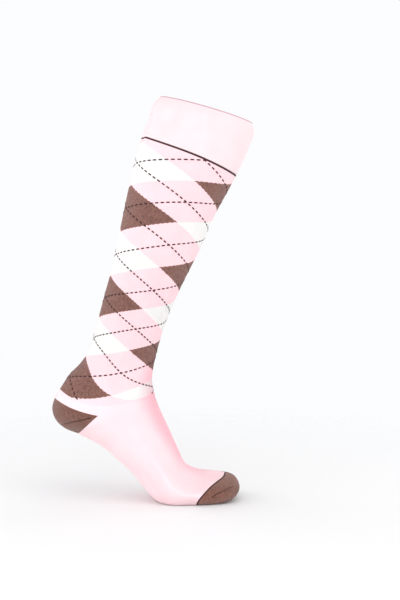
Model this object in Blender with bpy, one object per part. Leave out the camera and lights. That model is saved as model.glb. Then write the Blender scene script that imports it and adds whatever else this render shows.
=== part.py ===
"""One long riding sock in its worn form, held up by its leg opening.

Metres, +Z up, toes towards +X, the outer side of the foot towards -Y.
The origin is the centre of the leg opening.
"""
import math

import bpy
import numpy as np

# Start from an empty scene
for old in list(bpy.data.objects):
    bpy.data.objects.remove(old, do_unlink=True)

# Leg sizes
LEG_LENGTH = 0.298
LEG_LEAN = math.radians(19.2)
CALF_DEPTH = 0.118
CALF_WIDTH = 0.106

# Foot sizes
FOOT_DROP = math.radians(38.0)
BALL_REACH = 0.141
BALL_DROP = 0.098
FOOT_WIDTH = 0.084
TOE_LENGTH = 0.086
TOE_HEIGHT = 0.034

# Knit sizes
CUFF_WALL = 0.0022
LEG_WALL = 0.0015
FOOT_WALL = 0.0015
HEEL_WALL = 0.0020
TOE_WALL = 0.0020
STRIPE_WIDTH = 0.0020
GAP = 0.0003
SOLE_BLEND = 0.0020

# Heel pocket: how far round its tips and its blunt ends are, and how full its edges
HEEL_TIP_ANGLE = math.radians(80.0)
HEEL_END_ANGLE = math.radians(78.8)
HEEL_FULLNESS = 2.1

# How far the stripes rise and the pattern's end drops at the sides, and how much of that leans
# to the front. A tilt is up at the back
STRIPE_SIDE_RISE = 0.0005
STRIPE_TILT = 0.0009
PATTERN_SIDE_DROP = 0.0161
PATTERN_LEAN = 0.44
PATTERN_TILT = -0.0014
TOE_SIDE_RISE = 0.0120
TOE_LEAN = 0.5

# Colours
PINK = (0.93, 0.66, 0.72)
BLUSH = (0.95, 0.82, 0.85)
BROWN = (0.20, 0.11, 0.09)
DARK_BROWN = (0.05, 0.025, 0.02)
KNIT_ROUGHNESS = 0.85

# Mesh density
SEGMENTS = 32
CUFF_RINGS = 7
LEG_RINGS = 28
HEEL_SEGMENTS = 14
HEEL_RINGS = 6
UPPER_RINGS = 3
LOWER_RINGS = 16
TOE_RINGS = 8
CUFF_EASE = 1.5
TOE_EASE = 1.6
SLOPE_STEP = 0.0005
MERGE = 0.000001

# Where each zone starts and points, seen from the outer side as (x, z)
MOUTH = np.array([0.0, 0.0])
LEG_DOWN = np.array([-math.sin(LEG_LEAN), -math.cos(LEG_LEAN)])
LEG_FRONT = np.array([math.cos(LEG_LEAN), -math.sin(LEG_LEAN)])
FOOT_FORWARD = np.array([math.cos(FOOT_DROP), -math.sin(FOOT_DROP)])
FOOT_TOP = np.array([math.sin(FOOT_DROP), math.cos(FOOT_DROP)])
ANKLE = MOUTH + LEG_LENGTH * LEG_DOWN
BALL = ANKLE + BALL_REACH * FOOT_FORWARD - BALL_DROP * FOOT_TOP
FLOOR = float(BALL[1])

# Zone: start, direction along, direction out, length, depth, width
ZONES = {
    "leg": (MOUTH, LEG_DOWN, LEG_FRONT, LEG_LENGTH, CALF_DEPTH, CALF_WIDTH),
    "foot": (ANKLE, FOOT_FORWARD, FOOT_TOP, BALL_REACH, BALL_DROP, FOOT_WIDTH),
    "toe": (BALL, np.array([1.0, 0.0]), np.array([0.0, 1.0]), TOE_LENGTH, TOE_HEIGHT, FOOT_WIDTH),
}

# Courses: zone, then shares of the zone's length, depth and width
# back_along, back_out, front_along, front_out, half_width, fuller_back, roundness
COURSES = {
    "mouth": ("leg", 0.003, -0.46, -0.017, 0.46, 0.46, 0.00, 1.00),
    "rim": ("leg", 0.025, -0.49, 0.005, 0.49, 0.49, 0.00, 1.00),
    "cuff": ("leg", 0.090, -0.50, 0.090, 0.50, 0.50, 0.01, 1.00),
    "stripe": ("leg", 0.175, -0.505, 0.190, 0.475, 0.50, 0.03, 1.00),
    "calf_top": ("leg", 0.360, -0.47, 0.380, 0.40, 0.46, 0.07, 1.00),
    "calf": ("leg", 0.505, -0.425, 0.510, 0.375, 0.415, 0.08, 1.00),
    "shin": ("leg", 0.660, -0.375, 0.660, 0.325, 0.36, 0.06, 1.00),
    "low_shin": ("leg", 0.800, -0.35, 0.810, 0.295, 0.31, 0.02, 1.00),
    "ankle_top": ("leg", 0.915, -0.33, 0.910, 0.305, 0.29, 0.00, 1.00),
    "ankle": ("leg", 1.010, -0.32, 0.990, 0.325, 0.285, 0.00, 1.00),
    "ankle_foot": ("leg", 1.070, -0.36, 1.030, 0.345, 0.29, -0.02, 1.00),
    "ankle_bone": ("leg", 1.120, -0.42, 1.055, 0.37, 0.29, -0.04, 1.00),
    "pattern_end": ("leg", 1.179, -0.46, 1.078, 0.40, 0.29, -0.04, 1.00),
    "heel_top": ("foot", -0.230, -0.835, 0.400, -0.095, 0.37, -0.02, 1.00),
    "heel_back": ("foot", -0.193, -0.955, 0.410, -0.115, 0.37, 0.00, 1.00),
    "heel": ("foot", -0.115, -1.034, 0.430, -0.130, 0.37, 0.00, 1.00),
    "heel_turn": ("foot", -0.015, -1.049, 0.450, -0.150, 0.37, 0.00, 1.00),
    "heel_bottom": ("foot", 0.092, -1.007, 0.472, -0.170, 0.375, 0.00, 1.00),
    "arch_back": ("foot", 0.215, -0.975, 0.515, -0.205, 0.385, 0.02, 1.00),
    "arch": ("foot", 0.350, -0.955, 0.575, -0.250, 0.405, 0.03, 0.96),
    "instep": ("foot", 0.490, -0.970, 0.650, -0.305, 0.43, 0.05, 0.93),
    "arch_front": ("foot", 0.615, -0.985, 0.740, -0.375, 0.45, 0.07, 0.90),
    "ball_back": ("foot", 0.765, -1.030, 0.845, -0.455, 0.475, 0.08, 0.86),
    "ball_top": ("foot", 0.895, -1.070, 0.955, -0.530, 0.495, 0.08, 0.80),
    "ball": ("toe", 0.000, -0.19, 0.445, 0.95, 0.50, 0.08, 0.76),
    "toe_roots": ("toe", 0.200, -0.20, 0.620, 0.885, 0.50, 0.08, 0.74),
    "toe_stripe": ("toe", 0.400, -0.20, 0.795, 0.815, 0.49, 0.08, 0.74),
    "toes": ("toe", 0.575, -0.17, 0.890, 0.770, 0.47, 0.07, 0.74),
    "toe_pads": ("toe", 0.740, -0.10, 0.957, 0.67, 0.42, 0.05, 0.76),
    "toe_front": ("toe", 0.870, 0.03, 0.987, 0.535, 0.33, 0.03, 0.82),
    "toe_nose": ("toe", 0.945, 0.19, 0.992, 0.43, 0.20, 0.00, 0.90),
    "tip": ("toe", 0.985, 0.33, 0.985, 0.33, 0.0, 0.00, 1.00),
}


def course_row(zone, back_along, back_out, front_along, front_out, half_width, fuller, roundness):
    start, along, out, length, depth, width = ZONES[zone]
    back = start + back_along * length * along + back_out * depth * out
    front = start + front_along * length * along + front_out * depth * out
    return [*back, *front, half_width * width, fuller, roundness]


ROWS = np.array([course_row(*course) for course in COURSES.values()])
MIDDLES = (ROWS[:, 0:2] + ROWS[:, 2:4]) / 2
STEPS = np.hypot(*np.diff(MIDDLES, axis=0).T)
REACH = np.concatenate([[0.0], np.cumsum(STEPS)])
STATION = dict(zip(COURSES, REACH))
SLOPES = np.diff(ROWS, axis=0) / STEPS[:, None]
TANGENTS = np.vstack([
    SLOPES[:1],
    (SLOPES[:-1] * STEPS[1:, None] + SLOPES[1:] * STEPS[:-1, None]) / (STEPS[:-1] + STEPS[1:])[:, None],
    SLOPES[-1:],
])


def section(reach):
    """The course at a reach down the sock, smoothed between the rows."""
    reach = np.clip(reach, REACH[0], REACH[-1])
    low = np.clip(np.searchsorted(REACH, reach, side="right") - 1, 0, len(STEPS) - 1)
    step = STEPS[low][..., None]
    u = (reach - REACH[low])[..., None] / step
    value = (2 * u**3 - 3 * u**2 + 1) * ROWS[low]
    value = value + (u**3 - 2 * u**2 + u) * step * TANGENTS[low]
    value = value + (3 * u**2 - 2 * u**3) * ROWS[low + 1]
    return value + (u**3 - u**2) * step * TANGENTS[low + 1]


def rest_on_floor(height):
    """Flatten what would be below the floor, with a short blend."""
    above = height - FLOOR
    blend = (above + SOLE_BLEND) ** 2 / (4 * SOLE_BLEND)
    rested = np.where(above < -SOLE_BLEND, 0.0, np.where(above > SOLE_BLEND, above, blend))
    return FLOOR + rested


def place(reach, turn):
    """A point of the sock. Turn is 0 at the back, a quarter at the outer side, half at the front."""
    reach, turn = np.broadcast_arrays(np.asarray(reach, float), np.asarray(turn, float))
    row = section(reach)
    back = row[..., 0:2]
    front = row[..., 2:4]
    half_width, fuller, roundness = np.moveaxis(row[..., 4:7], -1, 0)
    depthways = np.sign(np.cos(turn)) * np.abs(np.cos(turn)) ** roundness
    sideways = np.sign(np.sin(turn)) * np.abs(np.sin(turn)) ** roundness
    middle = (back + front) / 2 - (front - back) / 2 * depthways[..., None]
    side = -half_width * sideways * (1 + fuller * depthways)
    return np.stack([middle[..., 0], side, rest_on_floor(middle[..., 1])], axis=-1)


def outward(reach, turn):
    """The direction that faces out of the sock at a point."""
    reach, turn = np.broadcast_arrays(np.asarray(reach, float), np.asarray(turn, float))
    reach = np.clip(reach, SLOPE_STEP, REACH[-1] - 4 * SLOPE_STEP)
    turn_step = SLOPE_STEP / CALF_WIDTH
    down = place(reach + SLOPE_STEP, turn) - place(reach - SLOPE_STEP, turn)
    around = place(reach, turn + turn_step) - place(reach, turn - turn_step)
    normal = np.cross(down, around)
    return normal / np.linalg.norm(normal, axis=-1, keepdims=True)


def grid(reaches, angles):
    """Points, outward directions and faces of a sheet. Reaches has one row per course."""
    points = place(reaches, angles)
    normals = outward(reaches, angles)
    rows, columns = points.shape[:2]
    index = np.arange(rows * columns).reshape(rows, columns)
    faces = np.stack([index[:-1, :-1], index[1:, :-1], index[1:, 1:], index[:-1, 1:]], axis=-1)
    return points.reshape(-1, 3), normals.reshape(-1, 3), faces.reshape(-1, 4)


def join(sheets):
    """Join sheets at the points that they share."""
    points = np.concatenate([sheet[0] for sheet in sheets])
    normals = np.concatenate([sheet[1] for sheet in sheets])
    starts = np.cumsum([0] + [len(sheet[0]) for sheet in sheets])
    faces = np.concatenate([sheet[2] + start for sheet, start in zip(sheets, starts)])
    rounded = np.round(points / MERGE).astype(int)
    keys, first, same = np.unique(rounded, axis=0, return_index=True, return_inverse=True)
    same = same.reshape(-1)
    joined_normals = np.zeros((len(keys), 3))
    np.add.at(joined_normals, same, normals)
    joined_normals /= np.linalg.norm(joined_normals, axis=1, keepdims=True)
    joined_faces = []
    for face in same[faces]:
        corners = [int(corner) for k, corner in enumerate(face) if corner != face[k - 1]]
        if len(corners) > 2:
            joined_faces.append(corners)
    return points[first], joined_normals, joined_faces


def material(name, colour, roughness):
    made = bpy.data.materials.new(name)
    made.use_nodes = True
    shader = made.node_tree.nodes["Principled BSDF"]
    shader.inputs["Base Color"].default_value = (*colour, 1.0)
    shader.inputs["Roughness"].default_value = roughness
    return made


def knit_body(name, sheets, wall, colour):
    """A closed body: the outer sheets, a wall's thickness and the inner side."""
    points, normals, faces = join(sheets)
    inner = points - normals * wall
    count = len(points)
    directed = {(face[k - 1], face[k]) for face in faces for k in range(len(face))}
    lining = [[corner + count for corner in reversed(face)] for face in faces]
    edges = sorted(edge for edge in directed if (edge[1], edge[0]) not in directed)
    rims = [[end, start, start + count, end + count] for start, end in edges]
    mesh = bpy.data.meshes.new(name)
    mesh.from_pydata(np.concatenate([points, inner]).tolist(), [], faces + lining + rims)
    mesh.validate()
    mesh.shade_smooth()
    body = bpy.data.objects.new(name, mesh)
    bpy.context.scene.collection.objects.link(body)
    mesh.materials.append(material(name, colour, KNIT_ROUGHNESS))
    return body


def sheet(first, last, angles, rings, ease=1.0):
    """A sheet between two lines round the sock, given as a reach at each turn."""
    shares = np.linspace(0.0, 1.0, rings + 1)[:, None] ** ease
    reaches = first + (last - first) * shares
    return grid(reaches, np.broadcast_to(angles, reaches.shape))


# The reaches where one piece ends and the next starts
HALF_STRIPE = STRIPE_WIDTH / 2
HALF_GAP = GAP / 2
HEEL_MIDDLE = (STATION["heel_top"] + STATION["heel_bottom"]) / 2


# Course: how far its sides go down the sock, how much of that leans to the front, and its tilt
COURSE_SHIFTS = {
    "stripe": (-STRIPE_SIDE_RISE, 0.0, STRIPE_TILT),
    "pattern_end": (PATTERN_SIDE_DROP, PATTERN_LEAN, PATTERN_TILT),
    "toe_stripe": (-TOE_SIDE_RISE, TOE_LEAN, 0.0),
}


def course_line(name, angles):
    """The reach of a whole course at each turn."""
    side_shift, lean, tilt = COURSE_SHIFTS[name]
    side = side_shift * np.sin(angles) ** 2 * (1 - lean * np.cos(angles))
    return STATION[name] + side - tilt * np.cos(angles)


def heel_line(name, angles):
    """The reach of an edge of the heel pocket at each turn."""
    turned = np.abs((angles + math.pi) % (2 * math.pi) - math.pi)
    opened = 1 - np.clip(turned / HEEL_TIP_ANGLE, 0.0, 1.0) ** HEEL_FULLNESS
    return HEEL_MIDDLE + (STATION[name] - HEEL_MIDDLE) * opened


ROUND = np.linspace(0.0, 2 * math.pi, SEGMENTS + 1)
STRIPE = course_line("stripe", ROUND)
PATTERN_END = course_line("pattern_end", ROUND)
TOE_STRIPE = course_line("toe_stripe", ROUND)

# The foot has a column of points at each tip of the heel pocket
BACK_HALF = np.linspace(-HEEL_TIP_ANGLE, HEEL_TIP_ANGLE, HEEL_SEGMENTS + 1)
FRONT_HALF = np.linspace(HEEL_TIP_ANGLE, 2 * math.pi - HEEL_TIP_ANGLE, SEGMENTS - HEEL_SEGMENTS + 1)
FOOT_ROUND = np.concatenate([BACK_HALF, FRONT_HALF[1:]])
FOOT_START = course_line("pattern_end", FOOT_ROUND) + HALF_GAP
FOOT_END = course_line("toe_stripe", FOOT_ROUND) - HALF_STRIPE - HALF_GAP
UPPER_LIP = heel_line("heel_top", FOOT_ROUND)
LOWER_LIP = heel_line("heel_bottom", FOOT_ROUND)
HEEL_TURNS = np.linspace(-HEEL_END_ANGLE, HEEL_END_ANGLE, HEEL_SEGMENTS + 1)
HEEL_START = heel_line("heel_top", HEEL_TURNS) + GAP
HEEL_END = heel_line("heel_bottom", HEEL_TURNS) - GAP

# The sheets of each piece, from the leg opening to the toes
cuff = sheet(0.0, STRIPE - HALF_STRIPE - HALF_GAP, ROUND, CUFF_RINGS, CUFF_EASE)
cuff_stripe = sheet(STRIPE - HALF_STRIPE + HALF_GAP, STRIPE + HALF_STRIPE - HALF_GAP, ROUND, 1)
leg = sheet(STRIPE + HALF_STRIPE + HALF_GAP, PATTERN_END - HALF_GAP, ROUND, LEG_RINGS)
foot_above = sheet(FOOT_START, UPPER_LIP, FOOT_ROUND, UPPER_RINGS)
foot_below = sheet(LOWER_LIP, FOOT_END, FOOT_ROUND, LOWER_RINGS)
heel = sheet(HEEL_START, HEEL_END, HEEL_TURNS, HEEL_RINGS)
toe_stripe = sheet(TOE_STRIPE - HALF_STRIPE + HALF_GAP, TOE_STRIPE + HALF_STRIPE - HALF_GAP, ROUND, 1)
toe = sheet(TOE_STRIPE + HALF_STRIPE + HALF_GAP, REACH[-1], ROUND, TOE_RINGS, 1 / TOE_EASE)

knit_body("cuff", [cuff], CUFF_WALL, BLUSH)
knit_body("cuff_stripe", [cuff_stripe], LEG_WALL, DARK_BROWN)
knit_body("leg", [leg], LEG_WALL, PINK)
knit_body("foot", [foot_above, foot_below], FOOT_WALL, PINK)
knit_body("heel", [heel], HEEL_WALL, BROWN)
knit_body("toe_stripe", [toe_stripe], TOE_WALL, DARK_BROWN)
knit_body("toe", [toe], TOE_WALL, BROWN)
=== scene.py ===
import math

import bpy
import numpy as np
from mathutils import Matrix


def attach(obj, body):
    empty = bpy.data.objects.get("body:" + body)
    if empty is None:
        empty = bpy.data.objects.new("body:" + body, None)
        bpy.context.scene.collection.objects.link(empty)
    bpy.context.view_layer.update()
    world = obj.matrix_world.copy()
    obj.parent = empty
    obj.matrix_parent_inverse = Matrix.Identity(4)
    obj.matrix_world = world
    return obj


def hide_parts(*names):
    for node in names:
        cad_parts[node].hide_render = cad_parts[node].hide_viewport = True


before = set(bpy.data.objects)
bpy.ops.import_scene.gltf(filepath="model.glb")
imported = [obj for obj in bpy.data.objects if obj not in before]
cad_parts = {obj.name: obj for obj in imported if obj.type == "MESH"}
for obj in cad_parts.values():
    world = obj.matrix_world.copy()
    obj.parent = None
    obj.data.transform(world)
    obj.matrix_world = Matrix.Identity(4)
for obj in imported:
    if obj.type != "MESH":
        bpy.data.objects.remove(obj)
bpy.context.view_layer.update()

# Leg sizes, in metres and radians
LEG_LENGTH = 0.298
LEG_LEAN = math.radians(19.2)
CALF_DEPTH = 0.118
CALF_WIDTH = 0.106

# Foot sizes
FOOT_DROP = math.radians(38.0)
BALL_REACH = 0.141
BALL_DROP = 0.098
FOOT_WIDTH = 0.084
TOE_LENGTH = 0.086
TOE_HEIGHT = 0.034

# Knit sizes
CUFF_WALL = 0.0022
LEG_WALL = 0.0015
HEEL_WALL = 0.0020
STRIPE_WIDTH = 0.0020
STRIPE_LIFT = 0.00025
SOLE_BLEND = 0.0020
FOLD_ROUNDING = 0.0009
FOLD_SEGMENTS = 3

# Heel pocket: how far round its tips are, and how full its edges
HEEL_TIP_ANGLE = math.radians(80.0)
HEEL_FULLNESS = 2.1

# How far the stripes rise and the pattern's end drops at the sides, and how much of that leans
# to the front. A tilt is up at the back
STRIPE_SIDE_RISE = 0.0005
STRIPE_TILT = 0.0009
PATTERN_SIDE_DROP = 0.0161
PATTERN_LEAN = 0.44
PATTERN_TILT = -0.0014
TOE_SIDE_RISE = 0.0120
TOE_LEAN = 0.5

# Soft waves of the stripes: height, turn of a crest, and number round the sock
STRIPE_WAVE = 0.0005
STRIPE_WAVE_TURN = math.radians(42.0)
STRIPE_WAVES = 3
TOE_WAVE = 0.0008
TOE_WAVE_TURN = math.radians(158.0)
TOE_WAVES = 4

# Steps of the stripes where their rounds begin: height, turn where each starts and turn it takes
STRIPE_JOG = 0.0022
STRIPE_JOG_START = math.radians(21.0)
STRIPE_JOG_TURN = math.radians(12.0)
TOE_JOG = 0.0045
TOE_JOG_START = math.radians(172.0)
TOE_JOG_TURN = math.radians(28.0)
TOE_JOG_END = math.radians(275.0)

# Stitches: counts, sizes, slant of the loops, and how a loop swells from its base
WALES = 168.0
COURSE_HEIGHT = 0.0009
STITCH_RELIEF = 0.00030
STITCH_SLANT = 0.9
LOOP_BASE = 0.4
LOOP_SWELL = 0.6

# Yarn: how dark the painted shade in the grooves between loops is, then its noises, with their scales per
# metre, and its finish
GROOVE_SHADE = 0.2
UNEVENNESS = 0.12
UNEVEN_SCALE = 60.0
UNEVEN_DETAIL = 2.0
FIBRE_SCALE = 1600.0
FIBRE_DETAIL = 3.0
FIBRE_SHARE = 0.6
FIBRE_RELIEF = 0.00008
HEATHER = 1.3
HEATHER_SCALE = 450.0
HEATHER_DETAIL = 1.0
MIDDLE_NOISE = 0.5
YARN_ROUGHNESS = 0.85
YARN_SHINE = 0.2

# Painted shade along the rim of the cuff, where the fold turns away from the light: its width in courses
RIM_SHADE_COURSES = 2.0

# Painted shade and pink reflection over the bend of the instep: the middle, half sizes and lean of an
# egg, and where in it the tint is full and where it ends, as shares of the egg
INSTEP_SHADE_MIDDLE = (-0.043, 0.0, -0.352)
INSTEP_SHADE_SIZE = (0.042, 0.042, 0.100)
INSTEP_SHADE_LEAN = math.radians(-21.0)
INSTEP_SHADE_CORE = 0.45
INSTEP_SHADE_EDGE = 1.0

# Argyle: rows of diamonds down the leg, and quarter turns round it from the column at the back.
# FIRST_ROW and ROW_HEIGHT are where the search for a place in it begins
QUARTER = math.pi / 2
COURSES_PER_ROW = 56.0
FIRST_ROW = 0.0850
ROW_HEIGHT = 0.0500
PATTERN_TURN = math.radians(12.4)
TURN_PER_ROW = math.radians(-1.74)
MIDDLE_ROW = 2.5
SIDE_TWIST = math.radians(3.3)
SIDE_LAG = math.radians(1.5)
BEFORE_FIRST_ROW = -1.0

# Row of diamonds: where its middle is at the back, the sides and the front, as shares of the leg
ARGYLE_ROWS = {
    0: (0.291, 0.275, 0.286),
    1: (0.461, 0.442, 0.445),
    2: (0.632, 0.624, 0.624),
    3: (0.804, 0.793, 0.791),
    4: (0.959, 0.959, 0.955),
    5: (1.097, 1.149, 1.123),
}

# Dashed lines over the argyle, which run on past its end at the front
LINES = 8
DASHES_PER_QUARTER = 12
DASH_SHARE = 0.62
DASH_WIDTH = 0.0016
DASH_HEIGHT = 0.00040
DASHES_PAST_END = 0.0036
FRONT_COSINE = -0.5

# Raised thread of length and width 1: sides, edge that is rounded, and its rounding
THREAD_SIDES = 8
THREAD_EDGE = math.radians(60.0)
THREAD_ROUNDING = 0.2
THREAD_SEGMENTS = 2

# Slope and number of a dashed line: how many rows too low it lies at the back, the side, the front
NO_SHIFT = (0.0, 0.0, 0.0)
LINE_SHIFTS = {
    (1, 1): (0.0, 0.024, 0.012),
    (1, 2): (0.014, 0.006, 0.0),
    (1, 3): (0.036, 0.060, 0.036),
    (1, 5): (0.080, 0.0, 0.0),
}

# Stitches of the joining lines, which narrow towards a line's end
GORE_STITCH = 0.0017
GORE_SPACE = 0.0002
GORE_WIDTH = 0.0014
GORE_HEIGHT = 0.00012
GORE_TAPER = 0.6

# Joining line: its pocket, then reach and turn in degrees of its start and of its end
GORES = {
    "heel_gore": ("heel", 0.3652, 71.0, 0.3672, 24.0),
    "heel_gore_start": ("heel", 0.3648, 69.8, 0.3660, 67.0),
    "toe_gore": ("toe", 0.5244, 88.5, 0.5415, 122.0),
    "toe_gore_start": ("toe", 0.5264, 88.8, 0.5303, 86.0),
}

# Mesh: columns round the sock and round the heel pocket, and height of a ring
COLUMNS = 162
POCKET_COLUMNS = 72
RING = 0.0021
STRIPE_ROWS = 4
SHARP_EDGE = math.radians(50.0)
MERGE = 0.000005

# Steps for slopes, for a thread's direction and for the search of a place in the argyle
SLOPE_STEP = 0.0005
TIP_MARGIN = 0.0020
AHEAD = 0.05
SEARCH_STEPS = 12

# Fuzz of each yarn, seen at a slant: weight, roughness and tint of the sheen
PLAIN_FUZZ = (0.1, 0.5, (1.0, 1.0, 1.0))
PINK_FUZZ = (0.2, 0.5, (1.0, 0.88, 0.91))
ARGYLE_FUZZ = (0.15, 0.5, (1.0, 0.85, 0.88))
BROWN_FUZZ = (0.25, 0.5, (1.0, 0.9, 0.85))
DARK_FUZZ = (0.0, 0.5, (1.0, 1.0, 1.0))

# Yarn colours, linear; some carry painted light or shade, as marked
PINK = (0.940, 0.640, 0.678)
# Painted light: the foot's pink is a lighter copy of the leg's pink, lifting the shade on the foot
LIT_FOOT_PINK = (0.960, 0.688, 0.720)
# Painted shade and pink reflection: the tint that deepens the pink over the instep
INSTEP_SHADE_TINT = (0.95, 0.70, 0.76)
BLUSH = (0.860, 0.682, 0.702)
# Painted shade of the cuff's rim: a darker pink for the fold turning away from the light
RIM_SHADE_COLOUR = (0.58, 0.35, 0.40)
CREAM = (0.800, 0.790, 0.765)
BROWN = (0.192, 0.090, 0.071)
# Painted shade: the heel's brown is a darker copy of the brown, as the light falls off towards the bottom
SHADED_HEEL_BROWN = (0.158, 0.070, 0.053)
TOE_BROWN = (0.205, 0.085, 0.061)
GORE_BROWN = (0.055, 0.028, 0.023)
DARK_BROWN = (0.055, 0.023, 0.026)

# Where each zone starts and points, seen from the outer side as (x, z)
MOUTH = np.array([0.0, 0.0])
LEG_DOWN = np.array([-math.sin(LEG_LEAN), -math.cos(LEG_LEAN)])
LEG_FRONT = np.array([math.cos(LEG_LEAN), -math.sin(LEG_LEAN)])
FOOT_FORWARD = np.array([math.cos(FOOT_DROP), -math.sin(FOOT_DROP)])
FOOT_TOP = np.array([math.sin(FOOT_DROP), math.cos(FOOT_DROP)])
ANKLE = MOUTH + LEG_LENGTH * LEG_DOWN
BALL = ANKLE + BALL_REACH * FOOT_FORWARD - BALL_DROP * FOOT_TOP
FLOOR = float(BALL[1])

# Zone: start, direction along, direction out, length, depth, width
ZONES = {
    "leg": (MOUTH, LEG_DOWN, LEG_FRONT, LEG_LENGTH, CALF_DEPTH, CALF_WIDTH),
    "foot": (ANKLE, FOOT_FORWARD, FOOT_TOP, BALL_REACH, BALL_DROP, FOOT_WIDTH),
    "toe": (BALL, np.array([1.0, 0.0]), np.array([0.0, 1.0]), TOE_LENGTH, TOE_HEIGHT, FOOT_WIDTH),
}

# Courses: zone, then shares of the zone's length, depth and width
# back_along, back_out, front_along, front_out, half_width, fuller_back, roundness
COURSES = {
    "mouth": ("leg", 0.003, -0.46, -0.017, 0.46, 0.46, 0.00, 1.00),
    "rim": ("leg", 0.025, -0.49, 0.005, 0.49, 0.49, 0.00, 1.00),
    "cuff": ("leg", 0.090, -0.50, 0.090, 0.50, 0.50, 0.01, 1.00),
    "stripe": ("leg", 0.175, -0.505, 0.190, 0.475, 0.50, 0.03, 1.00),
    "calf_top": ("leg", 0.360, -0.47, 0.380, 0.40, 0.46, 0.07, 1.00),
    "calf": ("leg", 0.505, -0.425, 0.510, 0.375, 0.415, 0.08, 1.00),
    "shin": ("leg", 0.660, -0.375, 0.660, 0.325, 0.36, 0.06, 1.00),
    "low_shin": ("leg", 0.800, -0.35, 0.810, 0.295, 0.31, 0.02, 1.00),
    "ankle_top": ("leg", 0.915, -0.33, 0.910, 0.305, 0.29, 0.00, 1.00),
    "ankle": ("leg", 1.010, -0.32, 0.990, 0.325, 0.285, 0.00, 1.00),
    "ankle_foot": ("leg", 1.070, -0.36, 1.030, 0.345, 0.29, -0.02, 1.00),
    "ankle_bone": ("leg", 1.120, -0.42, 1.055, 0.37, 0.29, -0.04, 1.00),
    "pattern_end": ("leg", 1.179, -0.46, 1.078, 0.40, 0.29, -0.04, 1.00),
    "heel_top": ("foot", -0.230, -0.835, 0.400, -0.095, 0.37, -0.02, 1.00),
    "heel_back": ("foot", -0.193, -0.955, 0.410, -0.115, 0.37, 0.00, 1.00),
    "heel": ("foot", -0.115, -1.034, 0.430, -0.130, 0.37, 0.00, 1.00),
    "heel_turn": ("foot", -0.015, -1.049, 0.450, -0.150, 0.37, 0.00, 1.00),
    "heel_bottom": ("foot", 0.092, -1.007, 0.472, -0.170, 0.375, 0.00, 1.00),
    "arch_back": ("foot", 0.215, -0.975, 0.515, -0.205, 0.385, 0.02, 1.00),
    "arch": ("foot", 0.350, -0.955, 0.575, -0.250, 0.405, 0.03, 0.96),
    "instep": ("foot", 0.490, -0.970, 0.650, -0.305, 0.43, 0.05, 0.93),
    "arch_front": ("foot", 0.615, -0.985, 0.740, -0.375, 0.45, 0.07, 0.90),
    "ball_back": ("foot", 0.765, -1.030, 0.845, -0.455, 0.475, 0.08, 0.86),
    "ball_top": ("foot", 0.895, -1.070, 0.955, -0.530, 0.495, 0.08, 0.80),
    "ball": ("toe", 0.000, -0.19, 0.445, 0.95, 0.50, 0.08, 0.76),
    "toe_roots": ("toe", 0.200, -0.20, 0.620, 0.885, 0.50, 0.08, 0.74),
    "toe_stripe": ("toe", 0.400, -0.20, 0.795, 0.815, 0.49, 0.08, 0.74),
    "toes": ("toe", 0.575, -0.17, 0.890, 0.770, 0.47, 0.07, 0.74),
    "toe_pads": ("toe", 0.740, -0.10, 0.957, 0.67, 0.42, 0.05, 0.76),
    "toe_front": ("toe", 0.870, 0.03, 0.987, 0.535, 0.33, 0.03, 0.82),
    "toe_nose": ("toe", 0.945, 0.19, 0.992, 0.43, 0.20, 0.00, 0.90),
    "tip": ("toe", 0.985, 0.33, 0.985, 0.33, 0.0, 0.00, 1.00),
}


def course_row(zone, back_along, back_out, front_along, front_out, half_width, fuller, roundness):
    start, along, out, length, depth, width = ZONES[zone]
    back = start + back_along * length * along + back_out * depth * out
    front = start + front_along * length * along + front_out * depth * out
    return [*back, *front, half_width * width, fuller, roundness]


ROWS = np.array([course_row(*course) for course in COURSES.values()])
MIDDLES = (ROWS[:, 0:2] + ROWS[:, 2:4]) / 2
STEPS = np.hypot(*np.diff(MIDDLES, axis=0).T)
REACH = np.concatenate([[0.0], np.cumsum(STEPS)])
STATION = dict(zip(COURSES, REACH))
SLOPES = np.diff(ROWS, axis=0) / STEPS[:, None]
TANGENTS = np.vstack([
    SLOPES[:1],
    (SLOPES[:-1] * STEPS[1:, None] + SLOPES[1:] * STEPS[:-1, None]) / (STEPS[:-1] + STEPS[1:])[:, None],
    SLOPES[-1:],
])


def section(reach):
    """The course at a reach down the sock, smoothed between the rows."""
    reach = np.clip(reach, REACH[0], REACH[-1])
    low = np.clip(np.searchsorted(REACH, reach, side="right") - 1, 0, len(STEPS) - 1)
    step = STEPS[low][..., None]
    u = (reach - REACH[low])[..., None] / step
    value = (2 * u**3 - 3 * u**2 + 1) * ROWS[low]
    value = value + (u**3 - 2 * u**2 + u) * step * TANGENTS[low]
    value = value + (3 * u**2 - 2 * u**3) * ROWS[low + 1]
    return value + (u**3 - u**2) * step * TANGENTS[low + 1]


def rest_on_floor(height):
    """Flatten what would be below the floor, with a short blend."""
    above = height - FLOOR
    blend = (above + SOLE_BLEND) ** 2 / (4 * SOLE_BLEND)
    rested = np.where(above < -SOLE_BLEND, 0.0, np.where(above > SOLE_BLEND, above, blend))
    return FLOOR + rested


def place(reach, turn):
    """A point of the sock. Turn is 0 at the back, a quarter at the outer side, half at the front."""
    reach, turn = np.broadcast_arrays(np.asarray(reach, float), np.asarray(turn, float))
    row = section(reach)
    back = row[..., 0:2]
    front = row[..., 2:4]
    half_width, fuller, roundness = np.moveaxis(row[..., 4:7], -1, 0)
    depthways = np.sign(np.cos(turn)) * np.abs(np.cos(turn)) ** roundness
    sideways = np.sign(np.sin(turn)) * np.abs(np.sin(turn)) ** roundness
    middle = (back + front) / 2 - (front - back) / 2 * depthways[..., None]
    side = -half_width * sideways * (1 + fuller * depthways)
    return np.stack([middle[..., 0], side, rest_on_floor(middle[..., 1])], axis=-1)


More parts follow.
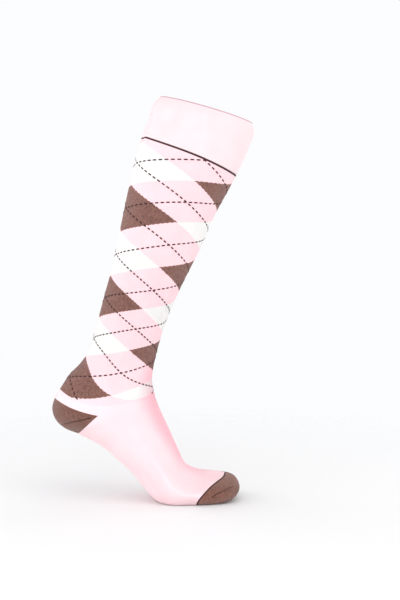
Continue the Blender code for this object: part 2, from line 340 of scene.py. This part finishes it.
def outward(reach, turn):
    """The direction that faces out of the sock at a point."""
    reach, turn = np.broadcast_arrays(np.asarray(reach, float), np.asarray(turn, float))
    reach = np.clip(reach, SLOPE_STEP, REACH[-1] - TIP_MARGIN)
    turn_step = SLOPE_STEP / CALF_WIDTH
    down = place(reach + SLOPE_STEP, turn) - place(reach - SLOPE_STEP, turn)
    around = place(reach, turn + turn_step) - place(reach, turn - turn_step)
    normal = np.cross(down, around)
    return normal / np.linalg.norm(normal, axis=-1, keepdims=True)


# Lines round the sock, each the reach at a turn
HEEL_MIDDLE = (STATION["heel_top"] + STATION["heel_bottom"]) / 2


def smooth_step(share):
    share = np.clip(share, 0.0, 1.0)
    return share**2 * (3 - 2 * share)


def mouth_line(turn):
    return np.zeros_like(turn)


def stripe_start(turn):
    rise = STRIPE_SIDE_RISE * np.sin(turn) ** 2 + STRIPE_TILT * np.cos(turn)
    wave = STRIPE_WAVE * np.cos(STRIPE_WAVES * (turn - STRIPE_WAVE_TURN))
    around = (turn + math.pi) % (2 * math.pi) - math.pi
    begun = smooth_step((STRIPE_JOG_START - around) / STRIPE_JOG_TURN)
    jog = STRIPE_JOG * begun * np.clip(1 + around / math.pi, 0.0, 1.0)
    return STATION["stripe"] - rise + wave + jog - STRIPE_WIDTH / 2


def stripe_end(turn):
    return stripe_start(turn) + STRIPE_WIDTH


def pattern_end(turn):
    drop = PATTERN_SIDE_DROP * np.sin(turn) ** 2 * (1 - PATTERN_LEAN * np.cos(turn))
    return STATION["pattern_end"] + drop - PATTERN_TILT * np.cos(turn)


def heel_edge(station, turn):
    turned = np.abs((turn + math.pi) % (2 * math.pi) - math.pi)
    opened = 1 - np.clip(turned / HEEL_TIP_ANGLE, 0.0, 1.0) ** HEEL_FULLNESS
    return HEEL_MIDDLE + (STATION[station] - HEEL_MIDDLE) * opened


def heel_top(turn):
    return heel_edge("heel_top", turn)


def heel_bottom(turn):
    return heel_edge("heel_bottom", turn)


def toe_start(turn):
    rise = TOE_SIDE_RISE * np.sin(turn) ** 2 * (1 - TOE_LEAN * np.cos(turn))
    wave = TOE_WAVE * np.cos(TOE_WAVES * (turn - TOE_WAVE_TURN))
    begun = smooth_step((turn - TOE_JOG_START) / TOE_JOG_TURN)
    left = smooth_step((TOE_JOG_END - turn) / (TOE_JOG_END - TOE_JOG_START - TOE_JOG_TURN))
    return STATION["toe_stripe"] - rise - wave + TOE_JOG * begun * left - STRIPE_WIDTH / 2


def toe_stripe_end(turn):
    return toe_start(turn) + STRIPE_WIDTH


def tip_line(turn):
    return np.full_like(turn, REACH[-1])


# The argyle's own places: quarter turns from the back column, and rows
ROW_MARKS = np.array(list(ARGYLE_ROWS.values())) * LEG_LENGTH
ROW_SLOPES = np.gradient(ROW_MARKS, axis=0)


def row_reach(row):
    """The reach of a row at the back, the sides and the front, smoothed between the rows."""
    low = np.clip(np.floor(row).astype(int), 0, len(ROW_MARKS) - 2)
    u = (row - low)[..., None]
    inner = (2 * u**3 - 3 * u**2 + 1) * ROW_MARKS[low] + (u**3 - 2 * u**2 + u) * ROW_SLOPES[low]
    inner = inner + (3 * u**2 - 2 * u**3) * ROW_MARKS[low + 1] + (u**3 - u**2) * ROW_SLOPES[low + 1]
    above = ROW_MARKS[0] + ROW_SLOPES[0] * u
    below = ROW_MARKS[-1] + ROW_SLOPES[-1] * (u - 1)
    return np.where(u < 0, above, np.where(u > 1, below, inner))


def argyle_place(quarters, row):
    """The reach and turn of a point of the argyle."""
    back, side, front = np.moveaxis(row_reach(row), -1, 0)
    reach = (back + front + 2 * side) / 4
    reach = reach + (back - front) / 2 * np.cos(math.pi / 2 * quarters)
    reach = reach + (back + front - 2 * side) / 4 * np.cos(math.pi * quarters)
    turn = quarters * QUARTER + PATTERN_TURN + TURN_PER_ROW * (row - MIDDLE_ROW)
    turn = turn + SIDE_TWIST * np.sin(math.pi * quarters) - SIDE_LAG * (1 - np.cos(math.pi * quarters))
    return reach, turn


def argyle_at(reach, turn):
    """The quarter turns and row of a point of the sock, closed in on step by step."""
    quarters = (turn - PATTERN_TURN) / QUARTER
    row = (reach - FIRST_ROW) / ROW_HEIGHT
    for _ in range(SEARCH_STEPS):
        found_reach, found_turn = argyle_place(quarters, row)
        quarters = quarters + (turn - found_turn) / QUARTER
        row = row + (reach - found_reach) / ROW_HEIGHT
    return quarters, row


# Stitch counts: x counts wales round the sock, y counts courses down it
def argyle_stitches(reach, turn):
    quarters, row = argyle_at(reach, turn)
    return quarters * WALES / 4, row * COURSES_PER_ROW


def plain_stitches(reach, turn):
    return (turn - PATTERN_TURN) / QUARTER * WALES / 4, reach / COURSE_HEIGHT


# Modelling
def deselect():
    bpy.ops.object.select_all(action="DESELECT")


def merge_doubles(piece):
    bpy.context.view_layer.objects.active = piece
    bpy.ops.object.mode_set(mode="EDIT")
    bpy.ops.mesh.select_all(action="SELECT")
    bpy.ops.mesh.remove_doubles(threshold=MERGE)
    bpy.ops.object.mode_set(mode="OBJECT")


def lay_knit(name, start, end, stitches, columns=COLUMNS, rows=None, lift=0.0):
    """A grid laid on the sock between two lines, with its stitch counts as its UV map."""
    first = -HEEL_TIP_ANGLE
    last = first + columns * 2 * math.pi / COLUMNS
    if rows is None:
        middle = np.linspace(first, last, columns)
        rows = math.ceil(float(np.max(end(middle) - start(middle))) / RING)
    deselect()
    bpy.ops.mesh.primitive_grid_add(x_subdivisions=columns, y_subdivisions=rows, size=1.0)
    piece = bpy.context.object
    piece.name = name
    mesh = piece.data
    mesh.name = name
    flat = np.empty(len(mesh.vertices) * 3)
    mesh.vertices.foreach_get("co", flat)
    across = flat[0::3] + 0.5
    down = 0.5 - flat[1::3]
    turn = first + (last - first) * across
    reach = start(turn) + (end(turn) - start(turn)) * down
    points = place(reach, turn)
    if lift:
        points = points + outward(reach, turn) * (lift * np.sin(math.pi * down))[:, None]
    mesh.vertices.foreach_set("co", points.ravel())
    corners = np.empty(len(mesh.loops), dtype=int)
    mesh.loops.foreach_get("vertex_index", corners)
    wale, course = stitches(reach, turn)
    counts = np.stack([wale[corners], course[corners]], axis=-1)
    mesh.uv_layers[0].name = "Stitches"
    mesh.uv_layers[0].data.foreach_set("uv", counts.ravel())
    mesh.update()
    merge_doubles(piece)
    return piece


def thicken(piece, wall, fold=0.0):
    """Give a knit its wall, on the inside."""
    deselect()
    piece.select_set(True)
    bpy.context.view_layer.objects.active = piece
    solid = piece.modifiers.new("Wall", "SOLIDIFY")
    solid.thickness = wall
    solid.offset = -1.0
    bpy.ops.object.modifier_apply(modifier=solid.name)
    if fold:
        rounded = piece.modifiers.new("Fold", "BEVEL")
        rounded.width = fold
        rounded.segments = FOLD_SEGMENTS
        rounded.limit_method = "ANGLE"
        rounded.angle_limit = SHARP_EDGE
        bpy.ops.object.modifier_apply(modifier=rounded.name)
    bpy.ops.object.shade_smooth_by_angle(angle=SHARP_EDGE)


def join(pieces):
    deselect()
    for piece in pieces:
        piece.select_set(True)
    bpy.context.view_layer.objects.active = pieces[0]
    bpy.ops.object.join()
    merge_doubles(pieces[0])
    return pieces[0]


# Materials, and the numbers of the sockets of a node that mixes colours
MIX_SHARE = 0
MIX_FIRST = 6
MIX_SECOND = 7
MIX_RESULT = 2


def new_node(tree, kind, **values):
    node = tree.nodes.new(kind)
    for name, value in values.items():
        setattr(node, name, value)
    return node


def feed(tree, socket, value):
    """Link a socket to another, or set its value."""
    if isinstance(value, bpy.types.NodeSocket):
        tree.links.new(value, socket)
    else:
        socket.default_value = value


def calculate(tree, operation, *values):
    node = new_node(tree, "ShaderNodeMath", operation=operation)
    for socket, value in zip(node.inputs, values):
        feed(tree, socket, value)
    return node.outputs[0]


def mix_colour(tree, share, first, second, blend="MIX"):
    node = new_node(tree, "ShaderNodeMix", data_type="RGBA", blend_type=blend)
    feed(tree, node.inputs[MIX_SHARE], share)
    feed(tree, node.inputs[MIX_FIRST], first)
    feed(tree, node.inputs[MIX_SECOND], second)
    return node.outputs[MIX_RESULT]


def new_group(name, inputs, outputs):
    group = bpy.data.node_groups.new(name, "ShaderNodeTree")
    for label, kind in inputs:
        group.interface.new_socket(name=label, in_out="INPUT", socket_type=kind)
    for label, kind in outputs:
        group.interface.new_socket(name=label, in_out="OUTPUT", socket_type=kind)
    entry = new_node(group, "NodeGroupInput")
    leave = new_node(group, "NodeGroupOutput")
    return group, entry, leave


def split(tree, vector):
    node = new_node(tree, "ShaderNodeSeparateXYZ")
    feed(tree, node.inputs[0], vector)
    return node.outputs[0], node.outputs[1]


def stitch_group():
    """Rows of V-shaped stitches from stitch counts, and the wale and course of each stitch."""
    group, entry, leave = new_group(
        "knit stitches",
        [("Stitches", "NodeSocketVector")],
        [("Height", "NodeSocketFloat"), ("Wale", "NodeSocketFloat"), ("Course", "NodeSocketFloat")],
    )
    wale, course = split(group, entry.outputs["Stitches"])
    centred = calculate(group, "SUBTRACT", calculate(group, "FRACT", wale), 0.5)
    across = calculate(group, "ABSOLUTE", centred)
    slanted = calculate(group, "MULTIPLY_ADD", across, STITCH_SLANT, course)
    leg = calculate(group, "SINE", calculate(group, "MULTIPLY", across, 2 * math.pi))
    along = calculate(group, "FRACT", slanted)
    loop = calculate(group, "SINE", calculate(group, "MULTIPLY", along, math.pi))
    shaped = calculate(group, "MULTIPLY_ADD", loop, LOOP_SWELL, LOOP_BASE)
    feed(group, leave.inputs["Height"], calculate(group, "MULTIPLY", leg, shaped))
    feed(group, leave.inputs["Wale"], calculate(group, "ADD", calculate(group, "FLOOR", wale), 0.5))
    feed(group, leave.inputs["Course"], calculate(group, "FLOOR", slanted))
    return group


def noise(tree, where, scale, detail):
    node = new_node(tree, "ShaderNodeTexNoise", noise_dimensions="3D")
    feed(tree, node.inputs["Vector"], where)
    feed(tree, node.inputs["Scale"], scale)
    feed(tree, node.inputs["Detail"], detail)
    return node.outputs["Fac"]


def yarn_group():
    """Uneven yarn: a tone that varies softly, the fuzz of its fibres, and flecks of heather."""
    group, entry, leave = new_group(
        "uneven yarn",
        [("Place", "NodeSocketVector"), ("Unevenness", "NodeSocketFloat")],
        [("Tone", "NodeSocketFloat"), ("Fuzz", "NodeSocketFloat"), ("Heather", "NodeSocketFloat")],
    )
    soft = noise(group, entry.outputs["Place"], UNEVEN_SCALE, UNEVEN_DETAIL)
    fibre = noise(group, entry.outputs["Place"], FIBRE_SCALE, FIBRE_DETAIL)
    flecks = noise(group, entry.outputs["Place"], HEATHER_SCALE, HEATHER_DETAIL)
    centred = calculate(group, "SUBTRACT", soft, MIDDLE_NOISE)
    grain = calculate(group, "SUBTRACT", fibre, MIDDLE_NOISE)
    mixed = calculate(group, "MULTIPLY_ADD", grain, FIBRE_SHARE, centred)
    tone = calculate(group, "MULTIPLY_ADD", mixed, entry.outputs["Unevenness"], 1.0)
    feed(group, leave.inputs["Tone"], tone)
    feed(group, leave.inputs["Fuzz"], fibre)
    feed(group, leave.inputs["Heather"], calculate(group, "SUBTRACT", flecks, MIDDLE_NOISE))
    return group


def argyle_group():
    """Which diamond a stitch is in: cream, brown or neither."""
    group, entry, leave = new_group(
        "argyle",
        [("Wale", "NodeSocketFloat"), ("Course", "NodeSocketFloat")],
        [("Cream", "NodeSocketFloat"), ("Brown", "NodeSocketFloat")],
    )
    half_turns = calculate(group, "DIVIDE", entry.outputs["Wale"], WALES / 2)
    row = calculate(group, "DIVIDE", entry.outputs["Course"], COURSES_PER_ROW)
    rising = calculate(group, "ROUND", calculate(group, "ADD", row, half_turns))
    falling = calculate(group, "ROUND", calculate(group, "SUBTRACT", row, half_turns))
    apart = calculate(group, "SUBTRACT", rising, falling)
    in_column = calculate(group, "SUBTRACT", 1.0, calculate(group, "FLOORED_MODULO", apart, 2.0))
    begun = calculate(group, "GREATER_THAN", calculate(group, "ADD", rising, falling), BEFORE_FIRST_ROW)
    in_column = calculate(group, "MULTIPLY", in_column, begun)
    dark = calculate(group, "FLOORED_MODULO", rising, 2.0)
    feed(group, leave.inputs["Brown"], calculate(group, "MULTIPLY", in_column, dark))
    light = calculate(group, "SUBTRACT", 1.0, dark)
    feed(group, leave.inputs["Cream"], calculate(group, "MULTIPLY", in_column, light))
    return group


def instep_shade_group():
    """Where painted shade and pink reflection fall over the bend of the instep, from the place on the
    sock.
    """
    group, entry, leave = new_group(
        "painted instep shade",
        [("Place", "NodeSocketVector")],
        [("Instep Shade", "NodeSocketFloat")],
    )
    along = new_node(group, "ShaderNodeMapping", vector_type="TEXTURE")
    feed(group, along.inputs["Vector"], entry.outputs["Place"])
    feed(group, along.inputs["Location"], INSTEP_SHADE_MIDDLE)
    feed(group, along.inputs["Rotation"], (0.0, INSTEP_SHADE_LEAN, 0.0))
    feed(group, along.inputs["Scale"], INSTEP_SHADE_SIZE)
    apart = new_node(group, "ShaderNodeVectorMath", operation="LENGTH")
    feed(group, apart.inputs[0], along.outputs["Vector"])
    fade = new_node(group, "ShaderNodeMapRange", interpolation_type="SMOOTHSTEP")
    feed(group, fade.inputs["Value"], apart.outputs["Value"])
    feed(group, fade.inputs["From Min"], INSTEP_SHADE_EDGE)
    feed(group, fade.inputs["From Max"], INSTEP_SHADE_CORE)
    feed(group, leave.inputs["Instep Shade"], fade.outputs["Result"])
    return group


STITCHES = stitch_group()
YARN = yarn_group()
ARGYLE = argyle_group()
INSTEP_SHADE = instep_shade_group()


def knit_material(
    name, yarn, argyle=None, rim=None, instep_shade=False, heather=0.0, sheen=PLAIN_FUZZ, relief=STITCH_RELIEF
):
    """Knit in one yarn, or in three where argyle gives the cream and the brown one."""
    made = bpy.data.materials.new(name)
    made.use_nodes = True
    tree = made.node_tree
    shader = tree.nodes["Principled BSDF"]
    counts = new_node(tree, "ShaderNodeUVMap", uv_map="Stitches")
    where = new_node(tree, "ShaderNodeTexCoord")
    stitches = new_node(tree, "ShaderNodeGroup", node_tree=STITCHES)
    feed(tree, stitches.inputs["Stitches"], counts.outputs["UV"])
    uneven = new_node(tree, "ShaderNodeGroup", node_tree=YARN)
    feed(tree, uneven.inputs["Place"], where.outputs["Object"])
    uneven.inputs["Unevenness"].default_value = UNEVENNESS
    colour = (*yarn, 1.0)
    flecked = heather
    # Painted shade: the top courses of the cuff take the darker rim colour
    if rim:
        in_rim_shade = calculate(tree, "LESS_THAN", stitches.outputs["Course"], RIM_SHADE_COURSES)
        colour = mix_colour(tree, in_rim_shade, colour, (*rim, 1.0))
    if argyle:
        diamonds = new_node(tree, "ShaderNodeGroup", node_tree=ARGYLE)
        feed(tree, diamonds.inputs["Wale"], stitches.outputs["Wale"])
        feed(tree, diamonds.inputs["Course"], stitches.outputs["Course"])
        cream, brown = argyle
        colour = mix_colour(tree, diamonds.outputs["Cream"], colour, (*cream, 1.0))
        colour = mix_colour(tree, diamonds.outputs["Brown"], colour, (*brown, 1.0))
        flecked = calculate(tree, "MULTIPLY", diamonds.outputs["Brown"], heather)
    # Painted shade and pink reflection: the pink deepens over the front of the instep and ankle
    if instep_shade:
        instep_shading = new_node(tree, "ShaderNodeGroup", node_tree=INSTEP_SHADE)
        feed(tree, instep_shading.inputs["Place"], where.outputs["Object"])
        colour = mix_colour(tree, instep_shading.outputs["Instep Shade"], colour, (*INSTEP_SHADE_TINT, 1.0), "MULTIPLY")
    # Painted shade: the colour darkens in the grooves between the loops
    depth = calculate(tree, "SUBTRACT", 1.0, stitches.outputs["Height"])
    shade = calculate(tree, "SUBTRACT", 1.0, calculate(tree, "MULTIPLY", depth, GROOVE_SHADE))
    tone = calculate(tree, "MULTIPLY", shade, uneven.outputs["Tone"])
    if heather:
        flecks = calculate(tree, "MULTIPLY_ADD", uneven.outputs["Heather"], flecked, 1.0)
        tone = calculate(tree, "MULTIPLY", tone, flecks)
    toned = new_node(tree, "ShaderNodeCombineXYZ")
    for socket in toned.inputs:
        feed(tree, socket, tone)
    feed(tree, shader.inputs["Base Color"], mix_colour(tree, 1.0, colour, toned.outputs[0], "MULTIPLY"))
    fuzz = new_node(tree, "ShaderNodeBump")
    fuzz.inputs["Distance"].default_value = FIBRE_RELIEF
    feed(tree, fuzz.inputs["Height"], uneven.outputs["Fuzz"])
    bump = new_node(tree, "ShaderNodeBump")
    bump.inputs["Distance"].default_value = relief
    feed(tree, bump.inputs["Height"], stitches.outputs["Height"])
    feed(tree, bump.inputs["Normal"], fuzz.outputs["Normal"])
    feed(tree, shader.inputs["Normal"], bump.outputs["Normal"])
    shader.inputs["Roughness"].default_value = YARN_ROUGHNESS
    shader.inputs["Specular IOR Level"].default_value = YARN_SHINE
    weight, roughness, tint = sheen
    shader.inputs["Sheen Weight"].default_value = weight
    shader.inputs["Sheen Roughness"].default_value = roughness
    shader.inputs["Sheen Tint"].default_value = (*tint, 1.0)
    return made


# Yarns
cuff_yarn = knit_material("cuff_knit", BLUSH, rim=RIM_SHADE_COLOUR)
argyle_yarn = knit_material(
    "argyle_knit", PINK, argyle=(CREAM, BROWN), instep_shade=True, heather=HEATHER, sheen=ARGYLE_FUZZ
)
foot_yarn = knit_material("foot_knit", LIT_FOOT_PINK, instep_shade=True, sheen=PINK_FUZZ)
heel_yarn = knit_material("heel_knit", SHADED_HEEL_BROWN, heather=HEATHER, sheen=BROWN_FUZZ)
toe_yarn = knit_material("toe_knit", TOE_BROWN, heather=HEATHER, sheen=BROWN_FUZZ)
gore_yarn = knit_material("gore_knit", GORE_BROWN, sheen=DARK_FUZZ)
dark_yarn = knit_material("dark_knit", DARK_BROWN, sheen=DARK_FUZZ, relief=STITCH_RELIEF / 2)


def finish_piece(piece, material, node, replaced=True):
    piece.data.materials.clear()
    piece.data.materials.append(material)
    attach(piece, "root")
    if replaced:
        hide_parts(node)


# The knit, from the leg opening to the toes
cuff = lay_knit("cuff_knit", mouth_line, stripe_start, plain_stitches)
thicken(cuff, CUFF_WALL, FOLD_ROUNDING)
finish_piece(cuff, cuff_yarn, "cuff")

cuff_stripe = lay_knit(
    "cuff_stripe_knit", stripe_start, stripe_end, plain_stitches, rows=STRIPE_ROWS, lift=STRIPE_LIFT
)
thicken(cuff_stripe, LEG_WALL)
finish_piece(cuff_stripe, dark_yarn, "cuff_stripe")

leg = lay_knit("leg_knit", stripe_end, pattern_end, argyle_stitches)
thicken(leg, LEG_WALL)
finish_piece(leg, argyle_yarn, "leg")

foot_above = lay_knit("foot_knit", pattern_end, heel_top, plain_stitches)
foot_below = lay_knit("foot_below", heel_bottom, toe_start, plain_stitches)
foot = join([foot_above, foot_below])
thicken(foot, LEG_WALL)
finish_piece(foot, foot_yarn, "foot")

heel = lay_knit("heel_knit", heel_top, heel_bottom, plain_stitches, columns=POCKET_COLUMNS)
thicken(heel, HEEL_WALL)
finish_piece(heel, heel_yarn, "heel")

toe_stripe = lay_knit(
    "toe_stripe_knit", toe_start, toe_stripe_end, plain_stitches, rows=STRIPE_ROWS, lift=STRIPE_LIFT
)
thicken(toe_stripe, LEG_WALL)
finish_piece(toe_stripe, dark_yarn, "toe_stripe")

toe = lay_knit("toe_knit", toe_stripe_end, tip_line, plain_stitches)
thicken(toe, HEEL_WALL)
finish_piece(toe, toe_yarn, "toe")


# Stitches that stand on the knit
def bar(width, height):
    """One short thread, lying along X with a length of 1: a flattened rod with rounded ends."""
    deselect()
    bpy.ops.mesh.primitive_cylinder_add(
        vertices=THREAD_SIDES, radius=0.5, depth=1.0, rotation=(0.0, QUARTER, 0.0)
    )
    thread = bpy.context.object
    bpy.ops.object.transform_apply(location=False, rotation=True, scale=False)
    rounded = thread.modifiers.new("Rounding", "BEVEL")
    rounded.width = THREAD_ROUNDING
    rounded.segments = THREAD_SEGMENTS
    rounded.limit_method = "ANGLE"
    rounded.angle_limit = THREAD_EDGE
    bpy.ops.object.modifier_apply(modifier=rounded.name)
    thread.scale = (1.0, width, height)
    bpy.ops.object.transform_apply(location=False, rotation=False, scale=True)
    return thread


def template_points(thread):
    """A thread's vertices and faces."""
    flat = np.empty(len(thread.data.vertices) * 3)
    thread.data.vertices.foreach_get("co", flat)
    return flat.reshape(-1, 3), [tuple(face.vertices) for face in thread.data.polygons]


def laid(thread_points, path):
    """A thread laid on the sock along a path, which gives the reach and turn at a share of its length."""
    share = thread_points[:, 0] + 0.5
    reach, turn = path(share)
    ahead_reach, ahead_turn = path(share + AHEAD)
    middle = place(reach, turn)
    up = outward(reach, turn)
    side = np.cross(up, place(ahead_reach, ahead_turn) - middle)
    side /= np.linalg.norm(side, axis=1, keepdims=True)
    return middle + side * thread_points[:, 1:2] + up * thread_points[:, 2:3]


def gather(name, parts, faces):
    """One piece from many copies of a thread."""
    size = len(parts[0])
    points = np.concatenate(parts)
    joined = [tuple(corner + size * k for corner in face) for k in range(len(parts)) for face in faces]
    mesh = bpy.data.meshes.new(name)
    mesh.from_pydata(points.tolist(), [], joined)
    mesh.uv_layers.new(name="Stitches")
    mesh.shade_smooth()
    piece = bpy.data.objects.new(name, mesh)
    bpy.context.scene.collection.objects.link(piece)
    return piece


def line_shift(shifts, quarters):
    """How many rows lower a dashed line lies at a number of quarter turns from the back."""
    back, side, front = shifts
    cosine = np.cos(quarters * math.pi / 2)
    backwards = np.clip(cosine, 0.0, 1.0) ** 2
    forwards = np.clip(-cosine, 0.0, 1.0) ** 2
    return back * backwards + side * (1 - cosine**2) + front * forwards


dash = bar(DASH_WIDTH, DASH_HEIGHT * 2)
dash_points, dash_faces = template_points(dash)
dashes = []
for slope in (1, -1):
    for line in range(-LINES, LINES):
        shifts = LINE_SHIFTS.get((slope, line), NO_SHIFT)
        for count in range(4 * DASHES_PER_QUARTER):

            def dash_path(share):
                quarters = (count + (share - 0.5) * DASH_SHARE) / DASHES_PER_QUARTER
                return argyle_place(quarters, line + line_shift(shifts, quarters) - slope * quarters / 2)

            reach, turn = dash_path(np.array([0.5]))
            past = DASHES_PAST_END * (np.cos(turn) < FRONT_COSINE)
            if stripe_end(turn)[0] < reach[0] < (pattern_end(turn) + past)[0]:
                dashes.append(laid(dash_points, dash_path))
overcheck = gather("overcheck_stitches", dashes, dash_faces)
finish_piece(overcheck, dark_yarn, "cuff_stripe", replaced=False)
bpy.data.objects.remove(dash, do_unlink=True)


def gore(name, pocket, start_reach, start_degrees, end_reach, end_degrees):
    """A joining line of a pocket, on both sides of the sock."""
    starts = (start_reach, math.radians(start_degrees))
    ends = (end_reach, math.radians(end_degrees))
    stitch = bar(GORE_WIDTH, GORE_HEIGHT * 2)
    stitch_points, stitch_faces = template_points(stitch)
    parts = []
    length = np.linalg.norm(place(*starts) - place(*ends))
    number = round(length / (GORE_STITCH + GORE_SPACE))
    for mirrored in (1, -1):
        for count in range(number):

            def stitch_path(share):
                along = (count + share * GORE_STITCH / (GORE_STITCH + GORE_SPACE)) / number
                return (
                    starts[0] + (ends[0] - starts[0]) * along,
                    mirrored * (starts[1] + (ends[1] - starts[1]) * along),
                )

            narrowed = stitch_points * np.array([1.0, 1.0 - GORE_TAPER * count / number, 1.0])
            parts.append(laid(narrowed, stitch_path))
    piece = gather(name, parts, stitch_faces)
    finish_piece(piece, gore_yarn, pocket, replaced=False)
    bpy.data.objects.remove(stitch, do_unlink=True)


for gore_name, gore_row in GORES.items():
    gore(gore_name, *gore_row)

# Camera
CAMERA_PLACE = (-0.1420, -1.5422, -0.0981)
CAMERA_TILT = math.radians(4.32)
CAMERA_TURN = math.radians(5.0)
LENS = 81.0
SENSOR = 36.0

# Floor, which fades out between two distances from its middle
FLOOR_GAP = 0.0002
FLOOR_MIDDLE = (-0.06, 0.0, FLOOR - FLOOR_GAP)
FLOOR_RADIUS = 1.1
FLOOR_SIDES = 96
FLOOR_TONE = 0.735
FLOOR_ROUGHNESS = 0.7
FADE_START = 0.25
FADE_END = 0.80
BACKDROP = (0.975, 0.98, 0.995)

# Softbox: its place, its size and its power. All of them are aimed at the calf
LIGHT_AIM = (-0.06, 0.0, -0.23)
LIGHTS = {
    "key": ((-1.6, 0.8, -0.1), 1.4, 13.2),
    "top": ((0.2, -0.8, 1.2), 1.4, 8.6),
    "low_left": ((-1.5, -0.3, -0.34), 0.3, 3.3),
    "side_right": ((1.2, -0.7, -0.30), 0.4, 5.0),
    "back_right": ((1.6, 0.8, -0.1), 1.4, 8.5),
    "strip": ((-0.05, -1.3, -0.38), 0.12, 4.3),
    "strip_left": ((-1.0, -0.9, -0.38), 0.12, 4.6),
}

deselect()
bpy.ops.mesh.primitive_circle_add(
    vertices=FLOOR_SIDES, radius=FLOOR_RADIUS, fill_type="NGON", location=FLOOR_MIDDLE
)
bpy.ops.object.transform_apply(location=True, rotation=False, scale=False)
floor = bpy.context.object
floor.name = "floor"
floor_paint = bpy.data.materials.new("floor_paint")
floor_paint.use_nodes = True
paint = floor_paint.node_tree.nodes["Principled BSDF"]
paint.inputs["Base Color"].default_value = (FLOOR_TONE, FLOOR_TONE, FLOOR_TONE, 1.0)
paint.inputs["Roughness"].default_value = FLOOR_ROUGHNESS
floor_tree = floor_paint.node_tree
floor_where = new_node(floor_tree, "ShaderNodeTexCoord")
distance = new_node(floor_tree, "ShaderNodeVectorMath", operation="DISTANCE")
feed(floor_tree, distance.inputs[0], floor_where.outputs["Object"])
feed(floor_tree, distance.inputs[1], FLOOR_MIDDLE)
fade = new_node(floor_tree, "ShaderNodeMapRange", interpolation_type="SMOOTHSTEP")
feed(floor_tree, fade.inputs["Value"], distance.outputs["Value"])
fade.inputs["From Min"].default_value = FADE_START
fade.inputs["From Max"].default_value = FADE_END
fade.inputs["To Min"].default_value = 1.0
fade.inputs["To Max"].default_value = 0.0
feed(floor_tree, paint.inputs["Alpha"], fade.outputs["Result"])
floor.data.materials.append(floor_paint)

world = bpy.data.worlds.new("studio")
bpy.context.scene.world = world
world.use_nodes = True
backdrop = world.node_tree.nodes["Background"]
backdrop.inputs["Color"].default_value = (*BACKDROP, 1.0)
backdrop.inputs["Strength"].default_value = 1.0


def softbox(name, location, size, energy):
    light_data = bpy.data.lights.new(name, "AREA")
    light_data.shape = "SQUARE"
    light_data.size = size
    light_data.energy = energy
    light = bpy.data.objects.new(name, light_data)
    light.location = location
    light.visible_camera = False
    aim = np.array(LIGHT_AIM) - np.array(location)
    light.rotation_euler = (
        math.atan2(math.hypot(aim[0], aim[1]), -aim[2]),
        0.0,
        math.atan2(aim[0], -aim[1]) + math.pi,
    )
    bpy.context.scene.collection.objects.link(light)


for light_name, light_row in LIGHTS.items():
    softbox(light_name, *light_row)

camera_data = bpy.data.cameras.new("camera")
camera_data.lens = LENS
camera_data.sensor_width = SENSOR
camera = bpy.data.objects.new("camera", camera_data)
camera.location = CAMERA_PLACE
camera.rotation_euler = (math.pi / 2 - CAMERA_TILT, 0.0, -CAMERA_TURN)
bpy.context.scene.collection.objects.link(camera)
bpy.context.scene.camera = camera
bpy.context.scene.view_settings.view_transform = "Standard"
bpy.context.scene.view_settings.look = "None"
